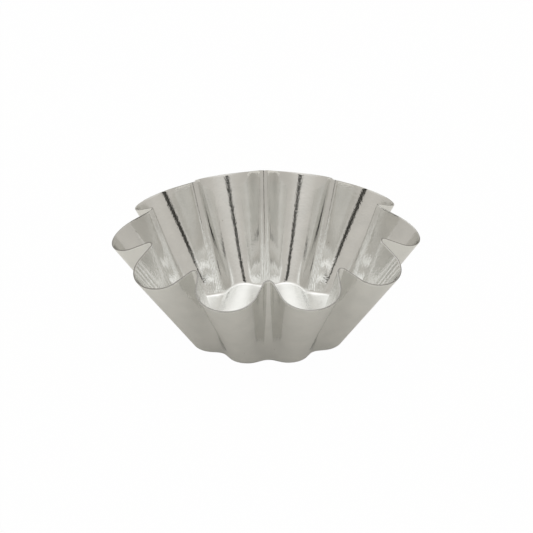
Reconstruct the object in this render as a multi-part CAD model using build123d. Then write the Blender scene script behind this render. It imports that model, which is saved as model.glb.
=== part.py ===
from build123d import *
import os
from math import acos, atan2, cos, degrees, hypot, sqrt, tan

# A small brioche mould: one blank of tinplate pressed into ten rounded lobes, with ten
# narrow folds that stand inwards between them, on a flat base. It is open at the top,
# and its edge is left as it was cut, with no bead or hem.
# Millimetres, +Z up. The origin is the middle of the underside. Lobe and fold sizes are
# taken on the outside of the sheet.

# The sheet.
sheet = 0.4                  # thickness of the tinplate
bend_radius = 1.6            # outside bend from the base up into the wall

# The edge. A round blank drawn into flutes ends lower where it bulges out, so the cut
# edge lies on a cone, highest at the folds.
edge_radius = 40.0           # from the axis to the outermost point of a lobe
edge_height = 24.6           # from the underside to the edge, at that point
edge_depth = 8.8             # how far a fold stands in from there, towards the axis
edge_rise = 4.8              # how much higher the edge is at the middle of a fold

# The base, measured where the straight lines of the wall would reach the underside.
base_radius = 22.2           # from the axis to the outermost point of a lobe
base_depth = 2.2             # how far a fold stands in from there

# The flutes. At the foot of the wall they are a shallow wave, and halfway up the folds
# have become narrow.
flutes = 10                  # lobes round the mould, with a fold between each two
base_fold_round = 3.0        # rounding of a fold at the foot of the wall
middle_fold_round = 1.4      # halfway up
top_fold_round = 1.1         # at the top
# rounding of a lobe at the same three levels, as shares of the largest circle that still
# leaves room for the folds beside it
lobe_shares = (0.85, 0.93, 0.884)
lobe_arcs = 8                # a lobe is drawn in this many short arcs, which keep the
fold_arcs = 2                # strips of the wall narrow and plain, and a fold in these
bend_steps = 4               # steps of the bend between the underside and the wall

overrun = 1.0                # how much too high the wall is made before its edge is cut

# Lobes and folds both run straight up the wall, so each has one slope of its own.
half_pitch = 180 / flutes
fold_height = edge_height + edge_rise
lobe_spread = (edge_radius - base_radius) / edge_height
fold_spread = ((edge_radius - edge_depth) - (base_radius - base_depth)) / fold_height
full_height = fold_height + overrun


def full_turn(spread):
    """The angle through which the sheet bends, from level up into a wall that leans out."""
    return atan2(1, spread)


def set_in(height, spread, depth):
    """How far a surface lies inside the wall's outer line, at one height.

    The depth is how deep in the sheet the surface is. It follows an arc in the bend, and
    above that a leaning wall is thicker when it is measured level.
    """
    turn = full_turn(spread)
    arc_radius = bend_radius - depth
    if height >= bend_radius - arc_radius * cos(turn):
        return depth * hypot(1, spread)
    below_centre = bend_radius - height
    along_arc = sqrt(max(0, arc_radius**2 - below_centre**2))
    return spread * height + bend_radius * tan(turn / 2) - along_arc


# The wall starts where the inside of the sheet has left the bend, at a fold as well.
wall_foot = bend_radius - (bend_radius - sheet) * cos(full_turn(fold_spread))


def arcs(centre, radius, start, turn, count):
    """An arc from a starting angle through a turn, in a number of equal pieces."""
    step = turn / count
    return [CenterArc(centre, radius, start + k * step, step) for k in range(count)]


def outline(height, fold_round, lobe_share, depth):
    """The mould's outline at one height and at a depth in the sheet, as a face.

    Each lobe is an arc bulging out, each fold an arc bulging in, and the flanks between
    them are straight and tangent to both.
    """
    lobe_radius = base_radius + lobe_spread * height
    fold_radius = base_radius - base_depth + fold_spread * height

    # the largest lobe is the one whose circle touches that of the fold
    fold_centre = Vector(fold_radius + fold_round, 0).rotate(Axis.Z, half_pitch)
    to_tip = Vector(lobe_radius, 0) - fold_centre
    room = (to_tip.length**2 - fold_round**2) / (to_tip.X + fold_round) / 2
    lobe_round = room * lobe_share
    lobe_centre = Vector(lobe_radius - lobe_round, 0)

    # deeper in the sheet a lobe is smaller and a fold is larger
    lobe_round -= set_in(height, lobe_spread, depth)
    fold_round += set_in(height, fold_spread, depth)

    # the direction square to the flank, which is the same at both of its ends
    across = fold_centre - lobe_centre
    square = degrees(atan2(across.Y, across.X))
    square -= degrees(acos((lobe_round + fold_round) / across.length))

    lobe = arcs(lobe_centre, lobe_round, -square, 2 * square, lobe_arcs)
    fold = arcs(fold_centre, fold_round, 180 + square, 2 * (half_pitch - square), fold_arcs)
    next_lobe = (lobe[0] @ 0).rotate(Axis.Z, 2 * half_pitch)
    flute = [*lobe, Line(lobe[-1] @ 1, fold[0] @ 0), *fold, Line(fold[-1] @ 1, next_lobe)]
    edges = [turned * edge for turned in PolarLocations(0, flutes) for edge in flute]
    return Pos(0, 0, height) * make_face(edges)


def fluted(depth):
    """The fluted shape as if it were solid, with its surface at a depth in the sheet."""
    turns = [full_turn(fold_spread) * k / bend_steps for k in range(bend_steps)]
    heights = [bend_radius - (bend_radius - depth) * cos(turn) for turn in turns]
    low = base_fold_round, lobe_shares[0]
    bend = loft([outline(height, *low, depth) for height in [*heights, wall_foot]])
    wall = loft([
        outline(wall_foot, *low, depth),
        outline((wall_foot + full_height) / 2, middle_fold_round, lobe_shares[1], depth),
        outline(full_height, top_fold_round, lobe_shares[2], depth),
    ])
    return bend + wall


# The pressed shape is the outside less the hollow, which starts a sheet above the underside.
outside = fluted(0)
hollow = fluted(sheet)
pressed = outside - hollow

# The edge is cut along a cone that passes through the lobe tips and the fold tips, and
# that is made longer below so that it holds all of the base.
slope = edge_rise / edge_depth
cone_height = edge_height + edge_radius * slope + overrun
from_foot = (Align.CENTER, Align.CENTER, Align.MIN)
below_edge = Pos(0, 0, -overrun) * Cone(cone_height / slope, 0, cone_height, align=from_foot)
mould = pressed & below_edge

os.makedirs("parts", exist_ok=True)
export_step(mould, "parts/mould.step")
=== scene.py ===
import bmesh
import bpy
from math import acos, atan2, cos, hypot, pi, radians, sin, sqrt, tan
from mathutils import Euler, Matrix, Vector


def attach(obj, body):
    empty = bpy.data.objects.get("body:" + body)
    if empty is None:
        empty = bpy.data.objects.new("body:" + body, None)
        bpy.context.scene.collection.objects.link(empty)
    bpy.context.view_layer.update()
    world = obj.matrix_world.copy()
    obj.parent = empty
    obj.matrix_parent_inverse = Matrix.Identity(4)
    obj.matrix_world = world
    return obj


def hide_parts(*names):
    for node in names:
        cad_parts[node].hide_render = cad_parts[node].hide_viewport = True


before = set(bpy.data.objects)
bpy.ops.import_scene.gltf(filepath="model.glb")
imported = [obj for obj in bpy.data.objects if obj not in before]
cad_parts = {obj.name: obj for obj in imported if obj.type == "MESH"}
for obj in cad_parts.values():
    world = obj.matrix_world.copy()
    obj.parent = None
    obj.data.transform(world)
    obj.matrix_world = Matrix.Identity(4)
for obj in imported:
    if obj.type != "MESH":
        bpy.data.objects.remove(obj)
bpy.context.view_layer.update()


# The mould. One blank of thin tinplate, drawn in a press into ten rounded lobes with ten
# narrow folds between them, on a flat base. The cut edge is left raw. Its wall is a
# smooth surface through three level outlines, each made of lobe arcs, flanks and folds.
sheet = 0.0004
bend = 0.0016

# The edge at the tip of a lobe, how far in from there a fold stands, and how much higher
# the fold ends. Then the base, where the wall's straight lines would meet the table.
flutes = 10
edge_radius = 0.040
edge_height = 0.0246
edge_depth = 0.0088
edge_rise = 0.0048
base_radius = 0.0222
base_depth = 0.0022

# The rounding of a fold at the foot of the wall, halfway up and at its top, and that of a
# lobe, as a share of the largest circle that leaves room for the folds beside it. The top
# outline lies a little above the cut edge.
fold_rounds = (0.0030, 0.0014, 0.0011)
lobe_shares = (0.85, 0.93, 0.884)
overrun = 0.001

# Lobes and folds each lean out with a slope of their own.
half_pitch = pi / flutes
lobe_spread = (edge_radius - base_radius) / edge_height
fold_spread = (edge_radius - edge_depth - base_radius + base_depth) / (edge_height + edge_rise)
lobe_steps, flank_steps, fold_steps = 14, 4, 12
last_column = lobe_steps + flank_steps + fold_steps


def set_in(height, spread):
    """How far the bend lies inside the wall's straight outer line, at one height."""
    full_turn = atan2(1, spread)
    if height >= bend * (1 - cos(full_turn)):
        return 0
    return spread * height + bend * tan(full_turn / 2) - sqrt(bend**2 - (bend - height)**2)


def half_flute(height, fold_round, lobe_share):
    """The outside of the sheet at one height, from a lobe's middle to a fold's middle."""
    lobe_radius = base_radius + lobe_spread * height
    fold_radius = base_radius - base_depth + fold_spread * height
    fold_centre = Matrix.Rotation(half_pitch, 3, "Z") @ Vector((fold_radius + fold_round, 0, 0))
    to_tip = Vector((lobe_radius, 0, 0)) - fold_centre
    room = (to_tip.length_squared - fold_round**2) / (to_tip.x + fold_round) / 2
    lobe_centre = Vector((lobe_radius - room * lobe_share, 0, 0))
    lobe_round = room * lobe_share - set_in(height, lobe_spread)
    fold_round += set_in(height, fold_spread)
    across = fold_centre - lobe_centre
    square = atan2(across.y, across.x) - acos((lobe_round + fold_round) / across.length)
    lobe_turns = [square * k / lobe_steps for k in range(lobe_steps + 1)]
    fold_turns = [square + (half_pitch - square) * k / fold_steps for k in range(fold_steps + 1)]
    lobe = [lobe_centre + lobe_round * Vector((cos(turn), sin(turn), 0)) for turn in lobe_turns]
    fold = [fold_centre - fold_round * Vector((cos(turn), sin(turn), 0)) for turn in fold_turns]
    flank = [lobe[-1].lerp(fold[0], k / flank_steps) for k in range(1, flank_steps)]
    rise = Vector((0, 0, height))
    return [point + rise for point in lobe + flank + fold]


# Rings in the flat base, as shares of its outline, then the bend as level outlines, and
# the three outlines of the wall.
base_shares = (0.55, 0.8, 0.93, 0.98)
flat_rows, bend_rows, wall_rows = len(base_shares), 8, 54
bend_end = atan2(1, fold_spread)
wall_foot = bend - (bend - sheet) * cos(bend_end)
wall_top = edge_height + edge_rise + overrun
bend_heights = [bend * (1 - cos(bend_end * k / bend_rows)) for k in range(bend_rows)]
bend_outlines = [half_flute(height, fold_rounds[0], lobe_shares[0]) for height in bend_heights]
wall_levels = (wall_foot, (wall_foot + wall_top) / 2, wall_top)
low, middle, high = (half_flute(*level) for level in zip(wall_levels, fold_rounds, lobe_shares))


def on_wall(column, share):
    """A point a share of the way up one column, on the curve through the three outlines."""
    return ((1 - share) * (1 - 2 * share) * low[column]
            + 4 * share * (1 - share) * middle[column]
            + share * (2 * share - 1) * high[column])


def edge_share(column):
    """How far up one column the sheet was cut, on a cone that is highest at the folds.

    Each round starts from the height that the last one found, and comes nearer to the cut.
    """
    share = 0.9
    for _ in range(20):
        point = on_wall(column, share)
        height = edge_height + (edge_radius - hypot(point.x, point.y)) * edge_rise / edge_depth
        share = (height - wall_foot) / (wall_top - wall_foot)
    return share


# A flat blank of half a flute, as a grid whose points are numbered by column and row, is
# pressed to its place row by row: the base, the bend, and the wall up to the cut edge.
# Mirrored and turned, it makes all the flutes.
last_row = flat_rows + bend_rows + wall_rows
counted = Matrix.Diagonal((last_column, last_row, 1, 1)) @ Matrix.Translation((0.5, 0.5, 0))
blank = bmesh.new()
bmesh.ops.create_grid(blank, x_segments=last_column, y_segments=last_row, size=0.5, matrix=counted)
for vert in blank.verts:
    column, row = round(vert.co.x), round(vert.co.y)
    if row < flat_rows:
        vert.co = bend_outlines[0][column] * base_shares[row]
    elif row < flat_rows + bend_rows:
        vert.co = bend_outlines[row - flat_rows][column]
    else:
        share = (row - flat_rows - bend_rows) / wall_rows
        vert.co = on_wall(column, share * edge_share(column))
whole_grid = blank.faces[:] + blank.edges[:] + blank.verts[:]
bmesh.ops.mirror(blank, geom=whole_grid, axis="Y", merge_dist=1e-6)
bmesh.ops.spin(blank, geom=blank.faces[:], axis=(0, 0, 1), angle=2 * pi * (flutes - 1) / flutes,
               steps=flutes - 1, use_duplicate=True)
bmesh.ops.remove_doubles(blank, verts=blank.verts, dist=2e-6)
middle_ring = [edge for edge in blank.edges if edge.is_boundary and edge.verts[0].co.z < 1e-6]
bmesh.ops.contextual_create(blank, geom=middle_ring)
bmesh.ops.recalc_face_normals(blank, faces=blank.faces)

# The outside of the base faces down, and the sheet's thickness goes inwards from there.
if min(blank.faces, key=lambda face: face.calc_center_median().z).normal.z > 0:
    bmesh.ops.reverse_faces(blank, faces=blank.faces)
bmesh.ops.solidify(blank, geom=blank.faces[:], thickness=sheet)

# The cut edge shows bare steel, and its two corners are a little rounded.
edge_round = 0.00012
cut = [edge for edge in blank.edges if edge.calc_face_angle(0) > radians(50)]
for face in {face for edge in cut for face in edge.link_faces}:
    if sum(edge in cut for edge in face.edges) == 2:
        face.material_index = 1
bmesh.ops.bevel(blank, geom=cut, offset=edge_round, segments=3, profile=0.5, affect="EDGES",
                material=-1)
mesh = bpy.data.meshes.new("mould_sheet")
blank.to_mesh(mesh)
blank.free()
mesh.shade_smooth()
mesh.set_sharp_from_angle(angle=radians(25))
mould = bpy.data.objects.new("mould_sheet", mesh)
bpy.context.collection.objects.link(mould)

tin = bpy.data.materials.new("polished_tin")
tin.use_nodes = True
nodes, links = tin.node_tree.nodes, tin.node_tree.links
metal = nodes["Principled BSDF"]
metal.inputs["Metallic"].default_value = 1
place = nodes.new("ShaderNodeTexCoord")

# Where the press rubbed it, the tin is a little paler and duller, in soft patches.
rubbed = nodes.new("ShaderNodeTexNoise")
rubbed.inputs["Scale"].default_value = 260
rubbed.inputs["Detail"].default_value = 5
tone = nodes.new("ShaderNodeMix")
tone.data_type = "RGBA"
tone.inputs["A"].default_value = (0.70, 0.705, 0.69, 1)
tone.inputs["B"].default_value = (0.855, 0.85, 0.83, 1)
shine = nodes.new("ShaderNodeMapRange")
shine.inputs["To Min"].default_value = 0.06
shine.inputs["To Max"].default_value = 0.13
links.new(place.outputs["Object"], rubbed.inputs["Vector"])
links.new(rubbed.outputs["Fac"], tone.inputs["Factor"])
links.new(rubbed.outputs["Fac"], shine.inputs["Value"])
links.new(shine.outputs["Result"], metal.inputs["Roughness"])

# Here and there a tiny dark pit, where the tin didn't take.
spots = nodes.new("ShaderNodeTexVoronoi")
spots.inputs["Scale"].default_value = 200
pit = nodes.new("ShaderNodeMapRange")
pit.inputs["From Min"].default_value = 0.032
pit.inputs["From Max"].default_value = 0.018
pitted = nodes.new("ShaderNodeMix")
pitted.data_type = "RGBA"
pitted.inputs["B"].default_value = (0.22, 0.19, 0.15, 1)
links.new(place.outputs["Object"], spots.inputs["Vector"])
links.new(spots.outputs["Distance"], pit.inputs["Value"])
links.new(pit.outputs["Result"], pitted.inputs["Factor"])
links.new(tone.outputs["Result"], pitted.inputs["A"])
links.new(pitted.outputs["Result"], metal.inputs["Base Color"])

# The fine grain of tinplate, which ruffles the mirror image of anything with a sharp edge.
grain = nodes.new("ShaderNodeTexNoise")
grain.inputs["Scale"].default_value = 2000
grain.inputs["Detail"].default_value = 2
ruffle = nodes.new("ShaderNodeBump")
ruffle.inputs["Strength"].default_value = 1
ruffle.inputs["Distance"].default_value = 0.00003
links.new(place.outputs["Object"], grain.inputs["Vector"])
links.new(grain.outputs["Fac"], ruffle.inputs["Height"])
links.new(ruffle.outputs["Normal"], metal.inputs["Normal"])
mesh.materials.append(tin)

# The bare steel of the cut edge, darker than the tin.
raw = bpy.data.materials.new("raw_cut_edge")
raw.use_nodes = True
cut_metal = raw.node_tree.nodes["Principled BSDF"]
cut_metal.inputs["Base Color"].default_value = (0.33, 0.325, 0.31, 1)
cut_metal.inputs["Metallic"].default_value = 1
cut_metal.inputs["Roughness"].default_value = 0.18
mesh.materials.append(raw)
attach(mould, "root")
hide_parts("mould")


# The table top that the mould stands on, plain white and matt, and wide enough to reach
# past the view on every side.
table_radius = 2
top = bmesh.new()
bmesh.ops.create_circle(top, cap_ends=True, segments=96, radius=table_radius)
table_mesh = bpy.data.meshes.new("table_top")
top.to_mesh(table_mesh)
top.free()
table = bpy.data.objects.new("table_top", table_mesh)
bpy.context.collection.objects.link(table)
white = bpy.data.materials.new("white_table")
white.use_nodes = True
nodes, links = white.node_tree.nodes, white.node_tree.links
paint = nodes["Principled BSDF"]
paint.inputs["Base Color"].default_value = (0.845, 0.835, 0.795, 1)
paint.inputs["Roughness"].default_value = 1
paint.inputs["Specular IOR Level"].default_value = 0

# The camera sees the table as plain white, with a trace of the mould's shadow, and the
# metal mirrors it a little lighter than it is.
glow = nodes.new("ShaderNodeEmission")
path = nodes.new("ShaderNodeLightPath")
to_camera = nodes.new("ShaderNodeMath")
to_camera.operation = "MULTIPLY"
to_camera.inputs[1].default_value = 0.985
to_mirror = nodes.new("ShaderNodeMath")
to_mirror.operation = "MULTIPLY_ADD"
to_mirror.inputs[1].default_value = 0.1
shown = nodes.new("ShaderNodeMixShader")
links.new(path.outputs["Is Camera Ray"], to_camera.inputs[0])
links.new(path.outputs["Is Glossy Ray"], to_mirror.inputs[0])
links.new(to_camera.outputs[0], to_mirror.inputs[2])
links.new(to_mirror.outputs[0], shown.inputs["Fac"])
links.new(paint.outputs[0], shown.inputs[1])
links.new(glow.outputs[0], shown.inputs[2])
links.new(shown.outputs[0], nodes["Material Output"].inputs["Surface"])
table_mesh.materials.append(white)


# A dark screen on a narrower stand, behind the camera. The lobes and folds at the back
# mirror it as narrow upright streaks. It isn't part of the object.
screen_x, screen_y = -0.015, -1.1
upright = bmesh.new()
for width, foot, head in ((0.16, 0.05, 0.4), (0.36, 0.4, 1.2)):
    centre = Matrix.Translation((screen_x, screen_y, (foot + head) / 2))
    bmesh.ops.create_grid(upright, x_segments=1, y_segments=1, size=0.5,
                          matrix=centre @ Matrix.Rotation(pi / 2, 4, "X")
                          @ Matrix.Diagonal((width, head - foot, 1, 1)))
screen_mesh = bpy.data.meshes.new("dark_screen")
upright.to_mesh(screen_mesh)
upright.free()
screen = bpy.data.objects.new("dark_screen", screen_mesh)
bpy.context.collection.objects.link(screen)
dark = bpy.data.materials.new("dark_cloth")
dark.use_nodes = True
cover = dark.node_tree.nodes["Principled BSDF"]
cover.inputs["Base Color"].default_value = (0.08, 0.08, 0.075, 1)
cover.inputs["Roughness"].default_value = 1
cover.inputs["Specular IOR Level"].default_value = 0
screen_mesh.materials.append(dark)


# Plain soft studio light from all round, about two and a half times as bright overhead as
# it is level with the table.
world = bpy.data.worlds.new("studio")
bpy.context.scene.world = world
world.use_nodes = True
nodes, links = world.node_tree.nodes, world.node_tree.links
direction = nodes.new("ShaderNodeTexCoord")
upward = nodes.new("ShaderNodeVectorMath")
upward.operation = "DOT_PRODUCT"
upward.inputs[1].default_value = (0, 0.1, 0.995)
shade = nodes.new("ShaderNodeValToRGB")
shade.color_ramp.elements[0].color = (0.38, 0.365, 0.34, 1)
shade.color_ramp.elements.new(0.50).color = (0.43, 0.413, 0.385, 1)
shade.color_ramp.elements.new(0.85).color = (0.65, 0.64, 0.62, 1)
links.new(direction.outputs["Generated"], upward.inputs[0])
links.new(upward.outputs["Value"], shade.inputs["Fac"])
links.new(shade.outputs["Color"], nodes["Background"].inputs["Color"])
nodes["Background"].inputs["Strength"].default_value = 1.47

# The camera, a long lens from in front and above.
lens = bpy.data.cameras.new("camera")
lens.sensor_width = 36
lens.lens = 239.02
camera = bpy.data.objects.new("camera", lens)
camera.location = (-0.01232, -0.81193, 0.45031)
azimuth, elevation, roll = radians(-0.873), radians(28.087), radians(-0.540)
aim = Euler((pi / 2 - elevation, 0, azimuth)).to_matrix()
camera.rotation_euler = (aim @ Matrix.Rotation(roll, 3, "Z")).to_euler()
bpy.context.collection.objects.link(camera)
bpy.context.scene.camera = camera
bpy.context.scene.view_settings.view_transform = "Standard"
